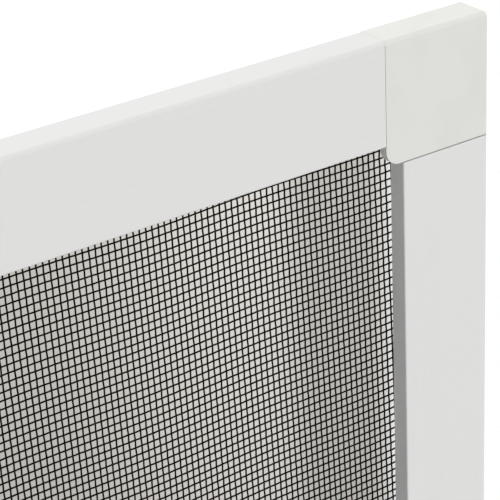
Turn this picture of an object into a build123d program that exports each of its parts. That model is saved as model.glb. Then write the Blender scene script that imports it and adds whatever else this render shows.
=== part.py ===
"""Window insect screen: four hollow aluminium bars joined by moulded corner keys, with a woven
mesh stretched over the frame's inner lip and held in its groove by lengths of round spline.

Millimetres. X runs across the window, Z up, and Y from the plain front of the frame to its back.
The origin is the middle of the screen.
"""
import os
from math import sqrt

from build123d import *

# Overall size
screen_width = 600.0
screen_height = 800.0

# Bar section, the same in rails and stiles
bar_width = 23.0
bar_depth = 7.7
bar_wall = 1.0
chamber_radius = 0.4
outer_edge_radius = 1.0
inner_edge_radius = 0.35
back_edge_radius = 0.4

# Lip and groove along the bar's inner edge, open to the back
lip_depth = 4.3
lip_thickness = 1.4
groove_width = 4.0
bead_radius = 0.3

# Corner key: a square cap with a rounded lobe over the mesh, and two barbed legs
key_corner_radius = 1.5
lobe_reach = 4.4
lobe_radius = 3.3
lobe_depth = 2.1
leg_length = 34.0
leg_root = 2.0
leg_clearance = 0.15
barb_count = 5
barb_pitch = 5.0
barb_height = 0.5
leg_tip_taper = 0.8
rail_butt_gap = 0.03
stile_butt_gap = 0.26
shadow_line_width = 0.1
shadow_line_depth = 0.4

# Spline
spline_clearance = 0.05
spline_bore_radius = 0.7

# Mesh: one thin wall, a turned-in border round an open plain weave drawn coarse
mesh_wall = 0.3
border_reach = 1.0
gap_columns = 10
gap_rows = 12
yarn_width = 5.0
yarn_thickness = 0.4
yarn_bond = 0.04

# Places worked out from the sizes above
half_width = screen_width / 2
half_height = screen_height / 2
front = -bar_depth / 2
key_side = bar_width + lobe_reach
groove_end = bar_width - lip_thickness
groove_start = groove_end - groove_width
chamber_width = groove_start - 2 * bar_wall
chamber_depth = bar_depth - 2 * bar_wall
chamber_middle = groove_start / 2
spline_radius = (groove_width - mesh_wall - 3 * spline_clearance) / 2
spline_middle = groove_start + spline_clearance + spline_radius
spline_depth = bar_wall + spline_clearance + spline_radius
bead_reach = spline_radius + spline_clearance + bead_radius
bead_depth = spline_depth + sqrt(bead_reach**2 - (spline_middle - groove_start) ** 2)
yarn_depth = lip_depth + mesh_wall / 2
yarn_crimp = (yarn_thickness - yarn_bond) / 2
rail_length = screen_width - 2 * (key_side + rail_butt_gap)
stile_length = screen_height - 2 * (key_side + stile_butt_gap)


def corner_of(sketch, point):
    """The corner of a sketch that lies at a point of its own plane."""
    return sketch.vertices().sort_by_distance(point)[0]


def front_plane(depth):
    """A plane across the whole screen, at a depth behind the frame's front face."""
    return Plane(origin=(0, front + depth, 0), x_dir=(1, 0, 0), z_dir=(0, -1, 0))


def key_plane(depth):
    """As front_plane, at the upper right corner: x and y run in along the rail and the stile."""
    return Plane(origin=(half_width, front + depth, half_height), x_dir=(-1, 0, 0), z_dir=(0, -1, 0))


def rail_plane():
    """Across the top rail: x runs in from its outer edge, y from its front face to its back."""
    return Plane(origin=(0, front, half_height), x_dir=(0, 0, -1), z_dir=(1, 0, 0))


def stile_plane():
    """Across the right stile: x runs in from its outer edge, y from its front face to its back."""
    return Plane(origin=(half_width, front, 0), x_dir=(-1, 0, 0), z_dir=(0, 0, -1))


def bar_section(plane):
    """Hollow bar with a lip for the mesh and a groove, with a bead in it, for the spline."""
    with BuildSketch(plane) as section:
        with BuildLine():
            Polyline(
                (0, 0),
                (bar_width, 0),
                (bar_width, lip_depth),
                (groove_end, lip_depth),
                (groove_end, bar_wall),
                (groove_start, bar_wall),
                (groove_start, bar_depth),
                (0, bar_depth),
                close=True,
            )
        make_face()
        fillet(corner_of(section, (0, 0)), outer_edge_radius)
        fillet(corner_of(section, (bar_width, 0)), inner_edge_radius)
        fillet(corner_of(section, (0, bar_depth)), back_edge_radius)
        with Locations((groove_start, bead_depth)):
            Circle(bead_radius)
        with Locations((chamber_middle, bar_depth / 2)):
            RectangleRounded(chamber_width, chamber_depth, chamber_radius, mode=Mode.SUBTRACT)
    return section.sketch


def leg_section(plane):
    """Side view of a key's leg: x runs along it from the cap, and saw-tooth barbs stand on both faces."""
    barb_top = chamber_depth / 2 - leg_clearance
    core = barb_top - barb_height
    first_barb = leg_length - (barb_count + 1) * barb_pitch
    edge = [(-leg_root, 0), (-leg_root, core)]
    for barb in range(barb_count):
        start = first_barb + barb * barb_pitch
        edge += [(start, core), (start, barb_top)]
    edge += [(first_barb + barb_count * barb_pitch, core)]
    edge += [(leg_length, core - leg_tip_taper), (leg_length, 0)]
    with BuildSketch(plane) as section:
        with BuildLine():
            Polyline(*edge)
            mirror(about=Plane.XZ)
        make_face()
    return section.sketch


def spline_section(plane):
    """Hollow round spline, seated in a bar's groove."""
    with BuildSketch(plane) as section:
        with Locations((spline_middle, spline_depth)):
            Circle(spline_radius)
            Circle(spline_bore_radius, mode=Mode.SUBTRACT)
    return section.sketch


def yarn_section(plane, span, gaps, phase):
    """Side view of a woven yarn: x runs along it, y towards the back, and it bends from side to side.

    It lies flat where it crosses a yarn, in front of it or behind it by turns, and both its ends run
    into the border.
    """
    pitch = span / gaps
    end = (span - border_reach) / 2
    middle_line = [(-end, 0)]
    for crossing in range(1, gaps):
        along = crossing * pitch - span / 2
        side = yarn_crimp if (crossing + phase) % 2 else -yarn_crimp
        middle_line += [(along - yarn_width / 2, side), (along + yarn_width / 2, side)]
    middle_line += [(end, 0)]
    back_edge = [(along, side + yarn_thickness / 2) for along, side in middle_line]
    front_edge = [(along, side - yarn_thickness / 2) for along, side in reversed(middle_line)]
    with BuildSketch(plane) as section:
        with BuildLine():
            Polyline(*back_edge, *front_edge, close=True)
        make_face()
    return section.sketch


# Bars
with BuildPart() as top_rail:
    extrude(bar_section(rail_plane()), amount=rail_length / 2, both=True)

with BuildPart() as bottom_rail:
    mirror(top_rail.part, about=Plane.XY)

with BuildPart() as right_stile:
    extrude(bar_section(stile_plane()), amount=stile_length / 2, both=True)

with BuildPart() as left_stile:
    mirror(right_stile.part, about=Plane.YZ)

# Corner keys
with BuildPart() as corner_key_top_right:
    with BuildSketch(key_plane(0)) as cap:
        Rectangle(key_side, key_side, align=Align.MIN)
        fillet(corner_of(cap, (0, 0)), key_corner_radius)
        fillet(corner_of(cap, (key_side, key_side)), lobe_radius)
    extrude(amount=-bar_depth)
    outer_edges = faces().sort_by(Axis.Y)[0].edges().filter_by(
        lambda edge: max(half_width - edge.center().X, half_height - edge.center().Z) > key_side - lobe_radius,
        reverse=True,
    )
    fillet(outer_edges, outer_edge_radius)

    # Shadow line along the rail's end, on the flat of the front
    with BuildSketch(key_plane(0)):
        with Locations((key_side - shadow_line_width, outer_edge_radius)):
            Rectangle(shadow_line_width, bar_width - outer_edge_radius, align=Align.MIN)
    extrude(amount=-shadow_line_depth, mode=Mode.SUBTRACT)

    # Groove and mesh corner, open to the back
    with BuildSketch(key_plane(bar_wall)):
        with Locations((groove_start, groove_start)):
            Rectangle(key_side, key_side, align=Align.MIN)
    extrude(amount=-bar_depth, mode=Mode.SUBTRACT)

    # Lobe, and the lip that goes on from the bars
    with BuildSketch(key_plane(bar_wall)) as lobe:
        with Locations((groove_end, groove_end)):
            Rectangle(key_side - groove_end, key_side - groove_end, align=Align.MIN)
        fillet(corner_of(lobe, (key_side, key_side)), lobe_radius)
    extrude(amount=bar_wall - lobe_depth)
    with BuildSketch(key_plane(bar_wall)):
        with Locations((groove_end, groove_end)):
            Rectangle(key_side - groove_end, key_side - groove_end, align=Align.MIN)
        with Locations((bar_width, bar_width)):
            Rectangle(key_side, key_side, align=Align.MIN, mode=Mode.SUBTRACT)
    extrude(amount=bar_wall - lip_depth)

    # Legs
    rail_leg = Plane(
        origin=(half_width - key_side, 0, half_height - chamber_middle), x_dir=(-1, 0, 0), z_dir=(0, 0, 1)
    )
    stile_leg = Plane(
        origin=(half_width - chamber_middle, 0, half_height - key_side), x_dir=(0, 0, -1), z_dir=(1, 0, 0)
    )
    for leg in (rail_leg, stile_leg):
        extrude(leg_section(leg), amount=chamber_width / 2 - leg_clearance, both=True)

with BuildPart() as corner_key_top_left:
    mirror(corner_key_top_right.part, about=Plane.YZ)

with BuildPart() as corner_key_bottom_right:
    mirror(corner_key_top_right.part, about=Plane.XY)

with BuildPart() as corner_key_bottom_left:
    mirror(corner_key_top_left.part, about=Plane.XY)

# Mesh
rim_inset = groove_end - spline_clearance
opening_width = screen_width - 2 * bar_width
opening_height = screen_height - 2 * bar_width
warp_pitch = opening_width / gap_columns
weft_pitch = opening_height / gap_rows
with BuildPart() as insect_mesh:
    # Border over the lip, turned down into the groove
    with BuildSketch(front_plane(lip_depth)):
        Rectangle(screen_width - 2 * (rim_inset - mesh_wall), screen_height - 2 * (rim_inset - mesh_wall))
        Rectangle(opening_width - 2 * border_reach, opening_height - 2 * border_reach, mode=Mode.SUBTRACT)
    extrude(amount=-mesh_wall)
    with BuildSketch(front_plane(lip_depth)):
        Rectangle(screen_width - 2 * (rim_inset - mesh_wall), screen_height - 2 * (rim_inset - mesh_wall))
        Rectangle(screen_width - 2 * rim_inset, screen_height - 2 * rim_inset, mode=Mode.SUBTRACT)
    extrude(amount=lip_depth - bar_wall - spline_clearance)

    # Warp yarns run up the screen and weft yarns across it, each over one and under the next
    for column in range(1, gap_columns):
        across = column * warp_pitch - opening_width / 2
        warp = Plane(origin=(across, front + yarn_depth, 0), x_dir=(0, 0, 1), z_dir=(-1, 0, 0))
        extrude(yarn_section(warp, opening_height, gap_rows, column), amount=yarn_width / 2, both=True)
    for row in range(1, gap_rows):
        up = row * weft_pitch - opening_height / 2
        weft = Plane(origin=(0, front + yarn_depth, up), x_dir=(1, 0, 0), z_dir=(0, 0, 1))
        extrude(yarn_section(weft, opening_width, gap_columns, row + 1), amount=yarn_width / 2, both=True)

# Spline: the top and bottom lengths run from corner to corner, the side lengths between them
with BuildPart() as spline_top:
    extrude(spline_section(rail_plane()), amount=half_width - groove_start - spline_clearance, both=True)

with BuildPart() as spline_bottom:
    mirror(spline_top.part, about=Plane.XY)

with BuildPart() as spline_right:
    extrude(spline_section(stile_plane()), amount=half_height - groove_end, both=True)

with BuildPart() as spline_left:
    mirror(spline_right.part, about=Plane.YZ)

pieces = {
    "top_rail": top_rail,
    "bottom_rail": bottom_rail,
    "left_stile": left_stile,
    "right_stile": right_stile,
    "corner_key_top_left": corner_key_top_left,
    "corner_key_top_right": corner_key_top_right,
    "corner_key_bottom_left": corner_key_bottom_left,
    "corner_key_bottom_right": corner_key_bottom_right,
    "insect_mesh": insect_mesh,
    "spline_top": spline_top,
    "spline_bottom": spline_bottom,
    "spline_left": spline_left,
    "spline_right": spline_right,
}
os.makedirs("parts", exist_ok=True)
for name, piece in pieces.items():
    piece.part.label = name
    export_step(piece.part, f"parts/{name}.step")
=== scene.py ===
"""Dresses the window insect screen and lights it in a plain studio.

Metres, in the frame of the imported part: X runs across the window, Z up, and the plain front of the
screen faces -Y. The bars, corner keys and splines are the part's own solids with a finish on them,
and the mesh is woven here yarn by yarn.
"""
import logging
import math
from dataclasses import dataclass, field
from enum import Enum
from typing import Any, Iterator

import bpy
from mathutils import Matrix, Vector


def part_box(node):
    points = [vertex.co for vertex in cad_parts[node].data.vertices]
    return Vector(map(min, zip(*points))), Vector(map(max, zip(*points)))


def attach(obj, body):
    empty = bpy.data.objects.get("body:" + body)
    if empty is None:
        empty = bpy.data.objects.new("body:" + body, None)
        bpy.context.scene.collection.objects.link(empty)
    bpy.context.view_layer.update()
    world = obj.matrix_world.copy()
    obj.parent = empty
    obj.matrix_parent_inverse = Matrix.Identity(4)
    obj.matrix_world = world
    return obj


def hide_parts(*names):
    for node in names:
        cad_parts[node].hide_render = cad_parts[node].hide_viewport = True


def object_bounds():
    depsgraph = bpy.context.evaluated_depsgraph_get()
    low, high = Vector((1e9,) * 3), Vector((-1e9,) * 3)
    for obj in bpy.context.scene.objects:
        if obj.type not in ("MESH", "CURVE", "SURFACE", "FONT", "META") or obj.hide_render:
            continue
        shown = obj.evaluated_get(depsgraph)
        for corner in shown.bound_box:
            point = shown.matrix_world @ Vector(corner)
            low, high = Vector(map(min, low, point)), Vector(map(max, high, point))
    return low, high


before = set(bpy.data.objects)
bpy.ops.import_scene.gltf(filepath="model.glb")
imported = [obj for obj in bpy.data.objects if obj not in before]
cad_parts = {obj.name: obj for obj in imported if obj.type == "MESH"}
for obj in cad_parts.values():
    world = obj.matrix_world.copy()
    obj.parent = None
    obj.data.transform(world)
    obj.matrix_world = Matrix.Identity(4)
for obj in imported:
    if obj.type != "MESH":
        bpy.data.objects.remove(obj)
CAD_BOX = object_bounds()

MM = 0.001
BODY = "root"
LOG = logging.getLogger("insect_screen")

# The places of a colour mix's sockets, several of which share a name
MIX_SHARE = 0
MIX_FIRST = 6
MIX_SECOND = 7
MIX_RESULT = 2


class Way(Enum):
    """The two ways in which a yarn can run through the mesh."""

    WARP = "up the screen"
    WEFT = "across the screen"


class Run(Enum):
    """The axis that a bar runs along, as the place of that axis in a vector."""

    ACROSS = 0
    UP = 2


def linear(colour: str) -> tuple[float, float, float, float]:
    """Turns an sRGB hex colour to linear light.

    Args:
        colour: Six hex digits after a hash sign.

    Returns:
        Red, green, blue and a full alpha.
    """
    # The bare numbers are those of the sRGB standard's curve
    channels = [int(colour[place:place + 2], 16) / 255 for place in (1, 3, 5)]
    curve = [c / 12.92 if c <= 0.04045 else ((c + 0.055) / 1.055) ** 2.4 for c in channels]
    return (curve[0], curve[1], curve[2], 1.0)


def add_node(
    tree: bpy.types.NodeTree,
    kind: str,
    settings: dict[str, Any] | None = None,
    inputs: dict[str | int, Any] | None = None,
) -> bpy.types.Node:
    """Adds a node with its settings and links.

    Args:
        tree: The node tree that it joins.
        kind: The node's type name, without the ShaderNode that starts it.
        settings: Properties of the node by name.
        inputs: A value or another node's output for each socket, by the socket's name or place.

    Returns:
        The new node.
    """
    node = tree.nodes.new("ShaderNode" + kind)
    for name, value in (settings or {}).items():
        setattr(node, name, value)
    for place, value in (inputs or {}).items():
        if isinstance(value, bpy.types.NodeSocket):
            tree.links.new(value, node.inputs[place])
        else:
            node.inputs[place].default_value = value
    return node


def new_material(name: str) -> tuple[bpy.types.Material, bpy.types.NodeTree]:
    """Makes an empty node material.

    Args:
        name: The material's name.

    Returns:
        The material and its node tree.
    """
    material = bpy.data.materials.new(name)
    material.use_nodes = True
    material.node_tree.nodes.clear()
    return material, material.node_tree


def dress(piece: bpy.types.Object, material: bpy.types.Material) -> None:
    """Gives a piece one material all over."""
    piece.data.materials.clear()
    piece.data.materials.append(material)


def mottle(
    tree: bpy.types.NodeTree,
    pattern: bpy.types.NodeSocket,
    limits: tuple[float, float],
    colours: tuple[str, str],
) -> bpy.types.NodeSocket:
    """Shades a surface from one colour to another as a pattern rises.

    Args:
        tree: The material's node tree.
        pattern: The socket that gives the pattern.
        limits: The values where the first colour ends and where the second is full.
        colours: The two colours, as sRGB hex values.

    Returns:
        The socket that gives the colour.
    """
    rise = add_node(tree, "MapRange", {}, {"Value": pattern, "From Min": limits[0], "From Max": limits[1]})
    shade = add_node(
        tree,
        "Mix",
        {"data_type": "RGBA"},
        {MIX_SHARE: rise.outputs["Result"], MIX_FIRST: linear(colours[0]), MIX_SECOND: linear(colours[1])},
    )
    return shade.outputs[MIX_RESULT]


def close_skin(tree: bpy.types.NodeTree, sockets: dict[str, Any]) -> None:
    """Ends a material with one opaque skin.

    Args:
        tree: The material's node tree.
        sockets: A value or another node's output for each of the skin's sockets.
    """
    skin = add_node(tree, "BsdfPrincipled", {}, sockets)
    add_node(tree, "OutputMaterial", {}, {"Surface": skin.outputs["BSDF"]})


def flat_sheets(
    name: str, corners: list[tuple[float, float, float]], material: bpy.types.Material
) -> bpy.types.Object:
    """Makes one object of four-cornered flat sheets.

    Args:
        name: The object's name.
        corners: The corners of one sheet after the other, each in order round the sheet.
        material: The material of all the sheets.

    Returns:
        The object, in the scene.
    """
    shape = bpy.data.meshes.new(name)
    shape.from_pydata(corners, [], [tuple(range(first, first + 4)) for first in range(0, len(corners), 4)])
    sheets = bpy.data.objects.new(name, shape)
    dress(sheets, material)
    bpy.context.scene.collection.objects.link(sheets)
    return sheets


def seen(tree: bpy.types.NodeTree) -> bpy.types.NodeSocket:
    """Tells the rays that show a surface from those that only carry its light.

    Args:
        tree: The node tree that asks.

    Returns:
        One for camera, glossy and transmission rays, and nought for the rest.
    """
    path = add_node(tree, "LightPath").outputs
    mirrored = add_node(
        tree, "Math", {"operation": "MAXIMUM"}, {0: path["Is Glossy Ray"], 1: path["Is Transmission Ray"]}
    )
    either = add_node(
        tree, "Math", {"operation": "MAXIMUM"}, {0: path["Is Camera Ray"], 1: mirrored.outputs[0]}
    )
    return either.outputs[0]


def soft_steps(
    tree: bpy.types.NodeTree, steps: list[tuple[bpy.types.NodeSocket, tuple[float, float]]]
) -> bpy.types.NodeSocket:
    """Multiplies soft steps, each of which goes from nought to one between two values.

    Args:
        tree: The node tree that the steps join.
        steps: For each step the socket it follows, with the values where it begins and where it is full.

    Returns:
        The socket that gives the product.
    """
    product: Any = 1.0
    for value, (begins, full) in steps:
        step = add_node(
            tree,
            "MapRange",
            {"interpolation_type": "SMOOTHSTEP"},
            {"Value": value, "From Min": begins, "From Max": full},
        )
        both = add_node(tree, "Math", {"operation": "MULTIPLY"}, {0: product, 1: step.outputs["Result"]})
        product = both.outputs[0]
    return product


@dataclass(frozen=True)
class PowderCoat:
    """White polyester powder baked on an extruded aluminium bar.

    The melted powder levels to a soft satin skin with a faint orange peel, and the lines that the die
    left along the bar still show through it as very slight streaks.
    """

    run: Run
    colour: str = "#E7E7E6"
    streak_colour: str = "#E6E6E5"
    streak_limits: tuple[float, float] = (0.35, 0.6)
    streak_detail: float = 3.0
    ior: float = 1.5
    roughness: float = 0.56
    roughness_spread: float = 0.03
    peel_size: float = 1.4 * MM
    peel_height: float = 0.004 * MM
    peel_detail: float = 1.0
    die_line_width: float = 1.2 * MM
    die_line_length: float = 120 * MM

    def material(self) -> bpy.types.Material:
        """Builds the material.

        Returns:
            Powder-coated aluminium with its streaks along the bar.
        """
        material, tree = new_material(f"powder_coated_aluminium_{self.run.name.lower()}")
        place = add_node(tree, "TexCoord").outputs["Object"]
        stretch = [1 / self.die_line_width] * 3
        stretch[self.run.value] = 1 / self.die_line_length
        along = add_node(tree, "VectorMath", {"operation": "MULTIPLY"}, {0: place, 1: stretch})
        streaks = add_node(
            tree, "TexNoise", {}, {"Vector": along.outputs[0], "Scale": 1.0, "Detail": self.streak_detail}
        ).outputs["Fac"]
        gloss = add_node(
            tree,
            "MapRange",
            {},
            {
                "Value": streaks,
                "To Min": self.roughness - self.roughness_spread,
                "To Max": self.roughness + self.roughness_spread,
            },
        )
        peel = add_node(
            tree, "TexNoise", {}, {"Vector": place, "Scale": 1 / self.peel_size, "Detail": self.peel_detail}
        )
        bump = add_node(
            tree, "Bump", {}, {"Strength": 1.0, "Distance": self.peel_height, "Height": peel.outputs["Fac"]}
        )
        sockets = {
            "Base Color": mottle(tree, streaks, self.streak_limits, (self.streak_colour, self.colour)),
            "Roughness": gloss.outputs["Result"],
            "IOR": self.ior,
            "Normal": bump.outputs["Normal"],
        }
        close_skin(tree, sockets)
        return material


@dataclass(frozen=True)
class MouldedPlastic:
    """White ABS, injection moulded in a fine spark-eroded tool.

    It is a shade warmer than the bars' powder coat, evenly dull, with a tiny grain that breaks up the
    light and no streaks.
    """

    colour: str = "#E6E7E1"
    cloud_colour: str = "#E3E4DE"
    cloud_limits: tuple[float, float] = (0.35, 0.6)
    cloud_size: float = 9 * MM
    cloud_detail: float = 2.0
    ior: float = 1.54
    roughness: float = 0.5
    # The real grain is under 0.1 mm wide: it is drawn coarser, so that it shows
    grain_size: float = 0.35 * MM
    grain_height: float = 0.004 * MM
    grain_detail: float = 1.0

    def material(self) -> bpy.types.Material:
        """Builds the material.

        Returns:
            Moulded white plastic with its fine grain.
        """
        material, tree = new_material("moulded_white_abs")
        place = add_node(tree, "TexCoord").outputs["Object"]
        clouds = add_node(
            tree,
            "TexNoise",
            {},
            {"Vector": place, "Scale": 1 / self.cloud_size, "Detail": self.cloud_detail},
        ).outputs["Fac"]
        grain = add_node(
            tree,
            "TexNoise",
            {},
            {"Vector": place, "Scale": 1 / self.grain_size, "Detail": self.grain_detail},
        )
        bump = add_node(
            tree,
            "Bump",
            {},
            {"Strength": 1.0, "Distance": self.grain_height, "Height": grain.outputs["Fac"]},
        )
        sockets = {
            "Base Color": mottle(tree, clouds, self.cloud_limits, (self.cloud_colour, self.colour)),
            "Roughness": self.roughness,
            "IOR": self.ior,
            "Normal": bump.outputs["Normal"],
        }
        close_skin(tree, sockets)
        return material


@dataclass(frozen=True)
class CoatedGlassYarn:
    """Glass yarn drawn through black PVC and bonded where it crosses.

    The soft coat is nearly black and dull, a little greyer where it is rubbed thin.
    """

    colour: str = "#090806"
    rubbed_colour: str = "#15120E"
    rub_limits: tuple[float, float] = (0.4, 0.75)
    rub_size: float = 2.5 * MM
    rub_detail: float = 2.0
    ior: float = 1.53
    specular: float = 0.04
    roughness: float = 0.65

    def material(self) -> bpy.types.Material:
        """Builds the material.

        Returns:
            Black coated yarn with slight changes of tone along it.
        """
        material, tree = new_material("woven_pvc_coated_glass_yarn")
        place = add_node(tree, "TexCoord").outputs["Object"]
        rubs = add_node(
            tree, "TexNoise", {}, {"Vector": place, "Scale": 1 / self.rub_size, "Detail": self.rub_detail}
        ).outputs["Fac"]
        sockets = {
            "Base Color": mottle(tree, rubs, self.rub_limits, (self.colour, self.rubbed_colour)),
            "Roughness": self.roughness,
            "IOR": self.ior,
            "Specular IOR Level": self.specular,
        }
        close_skin(tree, sockets)
        return material


@dataclass(frozen=True)
class ExtrudedVinyl:
    """Soft black vinyl, extruded as a hollow round cord and ribbed so that it grips the groove.

    The ribs catch the light as close rings along a dull black cord.
    """

    run: Run
    colour: str = "#1B1B1B"
    bloom_colour: str = "#2A2A29"
    bloom_limits: tuple[float, float] = (0.4, 0.7)
    bloom_size: float = 14 * MM
    bloom_detail: float = 3.0
    ior: float = 1.52
    roughness: float = 0.6
    rib_pitch: float = 1.3 * MM
    rib_height: float = 0.15 * MM

    def material(self) -> bpy.types.Material:
        """Builds the material.

        Returns:
            Ribbed black vinyl with a faint grey bloom.
        """
        material, tree = new_material(f"ribbed_extruded_vinyl_{self.run.name.lower()}")
        place = add_node(tree, "TexCoord").outputs["Object"]
        bloom = add_node(
            tree,
            "TexNoise",
            {},
            {"Vector": place, "Scale": 1 / self.bloom_size, "Detail": self.bloom_detail},
        ).outputs["Fac"]
        along = add_node(tree, "SeparateXYZ", {}, {0: place}).outputs[self.run.value]
        turn = add_node(tree, "Math", {"operation": "MULTIPLY"}, {0: along, 1: math.tau / self.rib_pitch})
        ribs = add_node(tree, "Math", {"operation": "SINE"}, {0: turn.outputs[0]})
        bump = add_node(
            tree, "Bump", {}, {"Strength": 1.0, "Distance": self.rib_height, "Height": ribs.outputs[0]}
        )
        sockets = {
            "Base Color": mottle(tree, bloom, self.bloom_limits, (self.colour, self.bloom_colour)),
            "Roughness": self.roughness,
            "IOR": self.ior,
            "Normal": bump.outputs["Normal"],
        }
        close_skin(tree, sockets)
        return material


@dataclass
class ScreenFrame:
    """The four coated bars and the four moulded keys that join them."""

    rails: tuple[str, ...] = ("top_rail", "bottom_rail")
    stiles: tuple[str, ...] = ("left_stile", "right_stile")
    keys: tuple[str, ...] = (
        "corner_key_top_left",
        "corner_key_top_right",
        "corner_key_bottom_left",
        "corner_key_bottom_right",
    )

    def dress(self) -> None:
        """Puts the powder coat on the bars and the moulded finish on the keys."""
        finishes = (
            (self.rails, PowderCoat(Run.ACROSS)),
            (self.stiles, PowderCoat(Run.UP)),
            (self.keys, MouldedPlastic()),
        )
        for names, finish in finishes:
            material = finish.material()
            for name in names:
                dress(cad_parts[name], material)
                LOG.info("%s: %s", name, material.name)


@dataclass
class Splines:
    """The four lengths of vinyl spline pressed into the groove behind the mesh's edge."""

    level: tuple[str, ...] = ("spline_top", "spline_bottom")
    upright: tuple[str, ...] = ("spline_left", "spline_right")

    def dress(self) -> None:
        """Puts the ribbed vinyl on each length."""
        for names, run in ((self.level, Run.ACROSS), (self.upright, Run.UP)):
            material = ExtrudedVinyl(run).material()
            for name in names:
                dress(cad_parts[name], material)
                LOG.info("%s: %s", name, material.name)


@dataclass
class WovenMesh:
    """Plain-woven mesh, stretched over the frame's lip with its edges turned into the groove.

    Warp yarns run up the screen and weft yarns across it. Both are numbered from one crossing near the
    upper right corner: warps to the right and wefts downwards. Near that corner each yarn is bent over
    and under the others, and further off it runs straight on its own side of the mesh.
    """

    warp_pitch: float = 1.433 * MM
    weft_pitch: float = 1.776 * MM
    weft_tilt: float = math.radians(0.63)
    warp_lean: float = math.radians(1.49)
    first_crossing: tuple[float, float] = (254.60 * MM, 358.37 * MM)
    # Near the upper right corner the weft yarns wave slightly
    sag: float = 0.25 * MM
    sag_length: float = 56.7 * MM
    sag_lowest: float = 215.7 * MM
    # The real yarn is about 0.28 mm thick: it is drawn coarser, so that its lines show
    yarn_diameter: float = 0.40 * MM
    yarn_sides: int = 6
    rim_wall: float = 0.3 * MM
    warp_crimp: float = 0.08 * MM
    weft_crimp: float = 0.04 * MM
    straight_offset: float = 0.10 * MM
    lip_depth: float = 4.3 * MM
    lip_width: float = 2.0 * MM
    turn_radius: float = 0.25 * MM
    shortest_yarn: float = 4.0 * MM
    woven_width: float = 105.4 * MM
    woven_height: float = 105 * MM
    half_width: float = field(init=False)
    half_height: float = field(init=False)
    edge_depth: float = field(init=False)
    level: float = field(init=False)
    across: Vector = field(init=False)
    down: Vector = field(init=False)

    def __post_init__(self) -> None:
        """Takes the mesh's place from its solid in the frame."""
        low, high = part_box("insect_mesh")
        self.half_width = high.x - self.rim_wall / 2
        self.half_height = high.z - self.rim_wall / 2
        self.edge_depth = low.y
        front = CAD_BOX[0].y
        self.level = front + self.lip_depth + self.yarn_diameter / 2 + self.straight_offset
        self.across = Vector((math.cos(self.weft_tilt), math.sin(self.weft_tilt))) * self.warp_pitch
        self.down = Vector((math.sin(self.warp_lean), -math.cos(self.warp_lean))) * self.weft_pitch

    def crossing(self, warp: float, weft: float) -> Vector:
        """Finds where two yarns cross.

        Args:
            warp: The warp yarn's number, which may lie between two yarns.
            weft: The weft yarn's number, likewise.

        Returns:
            The crossing's x and z.
        """
        point = Vector(self.first_crossing) + self.across * warp + self.down * weft
        if self.half_width - point.x < self.woven_width:
            point.y -= self.sag * math.cos(math.tau * (point.x - self.sag_lowest) / self.sag_length)
        return point

    def span(self, way: Way, number: int) -> tuple[float, float] | None:
        """Finds the stretch of one yarn that lies within the mesh's edges.

        Args:
            way: The yarn's way.
            number: The yarn's number.

        Returns:
            The numbers of the other way's yarns where it begins and ends, or None if it misses the mesh.
        """
        start = self.crossing(number, 0) if way is Way.WARP else self.crossing(0, number)
        step = self.down if way is Way.WARP else self.across
        first, last = -math.inf, math.inf
        for place, pace, limit in ((start.x, step.x, self.half_width), (start.y, step.y, self.half_height)):
            low, high = sorted(((-limit - place) / pace, (limit - place) / pace))
            first, last = max(first, low), min(last, high)
        if (last - first) * step.length < self.shortest_yarn:
            return None
        return first, last

    def is_woven(self, point: Vector) -> bool:
        """Tells whether a crossing lies in the closely woven corner, clear of the lip.

        Args:
            point: The crossing's x and z.

        Returns:
            True if the yarns are bent over and under each other there.
        """
        beside = self.lip_width < self.half_width - point.x < self.woven_width
        below = self.lip_width < self.half_height - point.y < self.woven_height
        return beside and below

    def middle_line(self, way: Way, number: int) -> list[Vector]:
        """Works out the line that one yarn's middle follows.

        Args:
            way: The yarn's way.
            number: The yarn's number.

        Returns:
            Points from groove to groove, or none if the yarn misses the mesh.
        """
        ends = self.span(way, number)
        if ends is None:
            return []
        warp_way = way is Way.WARP
        crimp = self.warp_crimp if warp_way else self.weft_crimp
        side = -1 if warp_way else 1
        rest = self.level + side * self.straight_offset
        first, last = (self.crossing(number, e) if warp_way else self.crossing(e, number) for e in ends)
        run = (last - first).normalized() * self.turn_radius
        points = [
            Vector((first.x, self.edge_depth, first.y)),
            Vector((first.x, rest - self.turn_radius, first.y)),
            Vector((first.x + run.x, rest, first.y + run.y)),
        ]
        for other in range(math.ceil(ends[0]), math.floor(ends[1]) + 1):
            point = self.crossing(number, other) if warp_way else self.crossing(other, number)
            if self.is_woven(point):
                over = side if (number + other) % 2 else -side
                points.append(Vector((point.x, self.level + over * crimp, point.y)))
        points += [
            Vector((last.x - run.x, rest, last.y - run.y)),
            Vector((last.x, rest - self.turn_radius, last.y)),
            Vector((last.x, self.edge_depth, last.y)),
        ]
        return points

    def yarns(self) -> Iterator[list[Vector]]:
        """Goes through the middle lines of all the yarns.

        Yields:
            One yarn's points.
        """
        counts = {
            Way.WARP: math.ceil(2 * self.half_width / self.warp_pitch),
            Way.WEFT: math.ceil(2 * self.half_height / self.weft_pitch),
        }
        for way, count in counts.items():
            for number in range(-count, count + 1):
                line = self.middle_line(way, number)
                if line:
                    yield line

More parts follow.
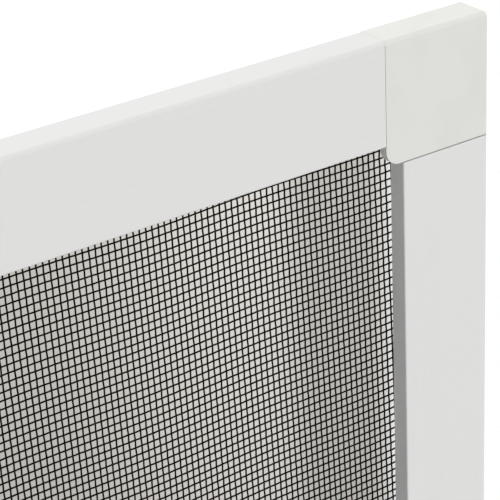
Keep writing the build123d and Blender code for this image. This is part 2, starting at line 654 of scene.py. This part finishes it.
    def build(self) -> bpy.types.Object:
        """Weaves the mesh as one object of yarn tubes.

        Returns:
            The mesh's object.
        """
        corners: list[Vector] = []
        faces: list[tuple[int, ...]] = []
        turns = [math.tau * side / self.yarn_sides for side in range(self.yarn_sides)]
        backward = Vector((0, 1, 0))
        radius = self.yarn_diameter / 2
        for line in self.yarns():
            flat_run = line[-1] - line[0]
            sideways = flat_run.cross(backward).normalized()
            base = len(corners)
            for place, point in enumerate(line):
                ahead = line[min(place + 1, len(line) - 1)] - line[max(place - 1, 0)]
                outward = sideways.cross(ahead).normalized()
                for turn in turns:
                    corners.append(point + (sideways * math.cos(turn) + outward * math.sin(turn)) * radius)
            for ring in range(len(line) - 1):
                for side in range(self.yarn_sides):
                    after = (side + 1) % self.yarn_sides
                    low = base + ring * self.yarn_sides
                    high = low + self.yarn_sides
                    faces.append((low + side, low + after, high + after, high + side))
        shape = bpy.data.meshes.new("insect_mesh_weave")
        shape.from_pydata(corners, [], faces)
        shape.shade_smooth()
        weave = bpy.data.objects.new("insect_mesh_weave", shape)
        bpy.context.scene.collection.objects.link(weave)
        return weave

    def fit(self) -> None:
        """Weaves the mesh, dresses it and puts it in the place of its plain solid."""
        weave = self.build()
        dress(weave, CoatedGlassYarn().material())
        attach(weave, BODY)
        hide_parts("insect_mesh")
        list(ScreenFrame.rails)
        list(ScreenFrame.stiles)
        LOG.info("%s: %d faces", weave.name, len(weave.data.polygons))


@dataclass
class PhotoCamera:
    """A long lens close to the upper right corner, looking down on it from the left.

    Lens and sensor are in millimetres, as the camera's own settings are.
    """

    place: tuple[float, float, float] = (28.72 * MM, -311.98 * MM, 546.65 * MM)
    azimuth: float = math.radians(34.161)
    fall: float = math.radians(26.017)
    roll: float = math.radians(-2.776)
    lens: float = 150.85
    sensor: float = 36.0

    def axes(self) -> Matrix:
        """Works out how the camera is turned.

        Returns:
            A matrix whose columns point right, up and back from the camera.
        """
        level = math.cos(self.fall)
        ahead = Vector(
            (math.sin(self.azimuth) * level, math.cos(self.azimuth) * level, -math.sin(self.fall))
        )
        flat_right = Vector((math.cos(self.azimuth), -math.sin(self.azimuth), 0))
        flat_up = flat_right.cross(ahead)
        right = flat_right * math.cos(self.roll) + flat_up * math.sin(self.roll)
        return Matrix((right, right.cross(ahead), -ahead)).transposed()

    def build(self) -> None:
        """Makes the camera and looks through it."""
        lens = bpy.data.cameras.new("photo_camera")
        lens.sensor_width = self.sensor
        lens.lens = self.lens
        camera = bpy.data.objects.new("photo_camera", lens)
        camera.matrix_world = Matrix.Translation(self.place) @ self.axes().to_4x4()
        bpy.context.scene.collection.objects.link(camera)
        bpy.context.scene.camera = camera
        LOG.info("camera: %.1f mm lens", self.lens)


@dataclass
class SightPanes:
    """Clear panes close behind the corner of the mesh that the camera sees.

    They show and shade nothing. They only count the lines of sight that come through that corner, so
    that the room's grey shows there alone. Each pane is larger than the one before it, so the count
    falls off softly round the corner.
    """

    size: tuple[float, float] = (102 * MM, 97 * MM)
    count: int = 5
    growth: float = 12 * MM
    gap: float = 0.5 * MM

    def passed(self, tree: bpy.types.NodeTree) -> bpy.types.NodeSocket:
        """Gives the socket that counts the clear surfaces a line of sight has come through."""
        return add_node(tree, "LightPath").outputs["Transparent Depth"]

    def build(self) -> None:
        """Stacks the panes."""
        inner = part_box("insect_mesh")[1]
        corners: list[tuple[float, float, float]] = []
        for number in range(self.count):
            depth = inner.y + self.gap * (number + 1)
            left = inner.x - self.size[0] - self.growth * number
            foot = inner.z - self.size[1] - self.growth * number
            outline = ((left, foot), (inner.x, foot), (inner.x, inner.z), (left, inner.z))
            corners += [(x, depth, z) for x, z in outline]
        material, tree = new_material("clear_air")
        clear = add_node(tree, "BsdfTransparent")
        add_node(tree, "OutputMaterial", {}, {"Surface": clear.outputs[0]})
        panes = flat_sheets("sight_panes", corners, material)


@dataclass
class WhiteRoom:
    """The room far round the floor: white, evenly lit, with one soft grey corner behind the mesh.

    The corner is laid out by x and z on the front of the screen, as the camera sees it. Each pair of
    values says where a soft step begins and where it is full. The grey fades out to white behind the top
    rail and the right stile, and only lines of sight that come through the panes find it.
    """

    camera: PhotoCamera
    panes: SightPanes
    light: float = 0.60
    white: str = "#FFFFFF"
    grey: str = "#DEDBD5"
    dark_grey: str = "#C4C1BB"
    foot_shade: float = 0.84
    grey_rise: tuple[float, float] = (184 * MM, 240 * MM)
    grey_fall: tuple[float, float] = (254 * MM, 241.5 * MM)
    left: tuple[float, float] = (160 * MM, 176 * MM)
    right: tuple[float, float] = (280 * MM, 266 * MM)
    bottom: tuple[float, float] = (260 * MM, 285 * MM)
    top: tuple[float, float] = (384 * MM, 376.5 * MM)
    forward: tuple[float, float] = (0.0, 0.1)

    def front_places(self, tree: bpy.types.NodeTree) -> list[bpy.types.NodeSocket]:
        """Finds where a line of sight in the room's direction crosses the front of the screen.

        Args:
            tree: The room's node tree.

        Returns:
            The sockets of x, of z, and of how far the direction points forward.
        """
        direction = add_node(tree, "TexCoord").outputs["Generated"]
        axes = add_node(tree, "SeparateXYZ", {}, {0: direction}).outputs
        depth = CAD_BOX[0].y - self.camera.place[1]
        found = []
        for sideways, start in ((axes[0], self.camera.place[0]), (axes[2], self.camera.place[2])):
            slope = add_node(tree, "Math", {"operation": "DIVIDE"}, {0: sideways, 1: axes[1]})
            place = add_node(
                tree, "Math", {"operation": "MULTIPLY_ADD"}, {0: slope.outputs[0], 1: depth, 2: start}
            )
            found.append(place.outputs[0])
        return [*found, axes[1]]

    def build(self) -> None:
        """Paints the room and makes it the scene's world."""
        room = bpy.data.worlds.new("white_room")
        room.use_nodes = True
        tree = room.node_tree
        tree.nodes.clear()
        x, z, forward = self.front_places(tree)
        lit = soft_steps(tree, [(x, self.grey_rise), (x, self.grey_fall)])
        band = add_node(
            tree,
            "Mix",
            {"data_type": "RGBA"},
            {MIX_SHARE: lit, MIX_FIRST: linear(self.dark_grey), MIX_SECOND: linear(self.grey)},
        )
        height = add_node(
            tree,
            "MapRange",
            {},
            {
                "Value": z,
                "From Min": self.bottom[1],
                "From Max": self.top[1],
                "To Min": self.foot_shade,
                "To Max": 1.0,
            },
        )
        tone = add_node(
            tree,
            "VectorMath",
            {"operation": "SCALE"},
            {0: band.outputs[MIX_RESULT], "Scale": height.outputs["Result"]},
        )
        # The gap in the floor is one more clear surface after the panes
        cover = soft_steps(
            tree,
            [
                (x, self.left),
                (x, self.right),
                (z, self.bottom),
                (z, self.top),
                (forward, self.forward),
                (self.panes.passed(tree), (1, self.panes.count + 1)),
            ],
        )
        colour = add_node(
            tree,
            "Mix",
            {"data_type": "RGBA"},
            {MIX_SHARE: cover, MIX_FIRST: linear(self.white), MIX_SECOND: tone.outputs[0]},
        )
        strength = add_node(tree, "MapRange", {}, {"Value": seen(tree), "To Min": self.light, "To Max": 1.0})
        glow = add_node(
            tree,
            "Background",
            {},
            {"Color": colour.outputs[MIX_RESULT], "Strength": strength.outputs["Result"]},
        )
        add_node(tree, "OutputWorld", {}, {"Surface": glow.outputs[0]})
        bpy.context.scene.world = room


@dataclass
class Studio:
    """A pale floor under the screen and two soft lamps."""

    panes: SightPanes
    floor_size: float = 30.0
    gap_middle: tuple[float, float, float] = (1.05, 1.22, 0.0)
    gap_radius: float = 0.45
    floor_white: str = "#FFFFFF"
    floor_bounce: str = "#BBBBBB"
    floor_glow: float = 0.07
    key_from: tuple[float, float, float] = (0.35, -0.93, 0.12)
    key_strength: float = 1.50
    fill_from: tuple[float, float, float] = (0.30, 0.55, 0.78)
    fill_strength: float = 1.16
    lamp_spread: float = math.radians(40)

    def floor_material(self) -> bpy.types.Material:
        """Builds the floor's paint.

        Returns:
            Matt paint that looks white and throws back a softer light, with a round gap that only lines
            of sight through the mesh find, so that they meet the room's grey corner.
        """
        material, tree = new_material("matt_white_floor_paint")
        shows = seen(tree)
        tone = add_node(
            tree,
            "Mix",
            {"data_type": "RGBA"},
            {MIX_SHARE: shows, MIX_FIRST: linear(self.floor_bounce), MIX_SECOND: linear(self.floor_white)},
        )
        paint = add_node(tree, "BsdfDiffuse", {}, {"Color": tone.outputs[MIX_RESULT]})
        lift = add_node(tree, "Math", {"operation": "MULTIPLY"}, {0: shows, 1: self.floor_glow})
        glow = add_node(tree, "Emission", {}, {"Strength": lift.outputs[0]})
        floor = add_node(tree, "AddShader", {}, {0: paint.outputs[0], 1: glow.outputs[0]})
        place = add_node(tree, "TexCoord").outputs["Object"]
        away = add_node(tree, "VectorMath", {"operation": "DISTANCE"}, {0: place, 1: self.gap_middle})
        gap = add_node(
            tree, "Math", {"operation": "LESS_THAN"}, {0: away.outputs["Value"], 1: self.gap_radius}
        )
        marked = add_node(tree, "Math", {"operation": "MINIMUM"}, {0: self.panes.passed(tree), 1: 1.0})
        lost = add_node(tree, "Math", {"operation": "MULTIPLY"}, {0: gap.outputs[0], 1: marked.outputs[0]})
        clear = add_node(tree, "BsdfTransparent")
        both = add_node(
            tree, "MixShader", {}, {0: lost.outputs[0], 1: floor.outputs[0], 2: clear.outputs[0]}
        )
        add_node(tree, "OutputMaterial", {}, {"Surface": both.outputs[0]})
        return material

    def build_floor(self) -> None:
        """Lays the floor under the screen."""
        half = self.floor_size / 2
        corners = [(x * half, y * half, 0) for x, y in ((-1, -1), (1, -1), (1, 1), (-1, 1))]
        floor = flat_sheets("floor", corners, self.floor_material())
        floor.location.z = CAD_BOX[0].z

    def build_lamps(self) -> None:
        """Hangs a soft key lamp before the screen, to its right, and a weaker one above and behind it."""
        lamps = (("key", self.key_from, self.key_strength), ("fill", self.fill_from, self.fill_strength))
        for name, toward, strength in lamps:
            light = bpy.data.lights.new(f"{name}_lamp", "SUN")
            light.energy = strength
            light.angle = self.lamp_spread
            lamp = bpy.data.objects.new(f"{name}_lamp", light)
            lamp.rotation_mode = "QUATERNION"
            lamp.rotation_quaternion = Vector(toward).to_track_quat("Z", "Y")
            bpy.context.scene.collection.objects.link(lamp)

    def build(self) -> None:
        """Sets up the floor and the lamps."""
        bpy.context.scene.view_settings.view_transform = "Standard"
        self.build_floor()
        self.build_lamps()
        LOG.info("studio: floor at %.3f m", CAD_BOX[0].z)


def main() -> None:
    """Dresses the screen, then sets up the camera and the studio."""
    logging.basicConfig(level=logging.INFO, format="%(name)s: %(message)s")
    ScreenFrame().dress()
    Splines().dress()
    WovenMesh().fit()
    camera = PhotoCamera()
    camera.build()
    panes = SightPanes()
    panes.build()
    WhiteRoom(camera, panes).build()
    Studio(panes).build()


if __name__ == "__main__":
    main()
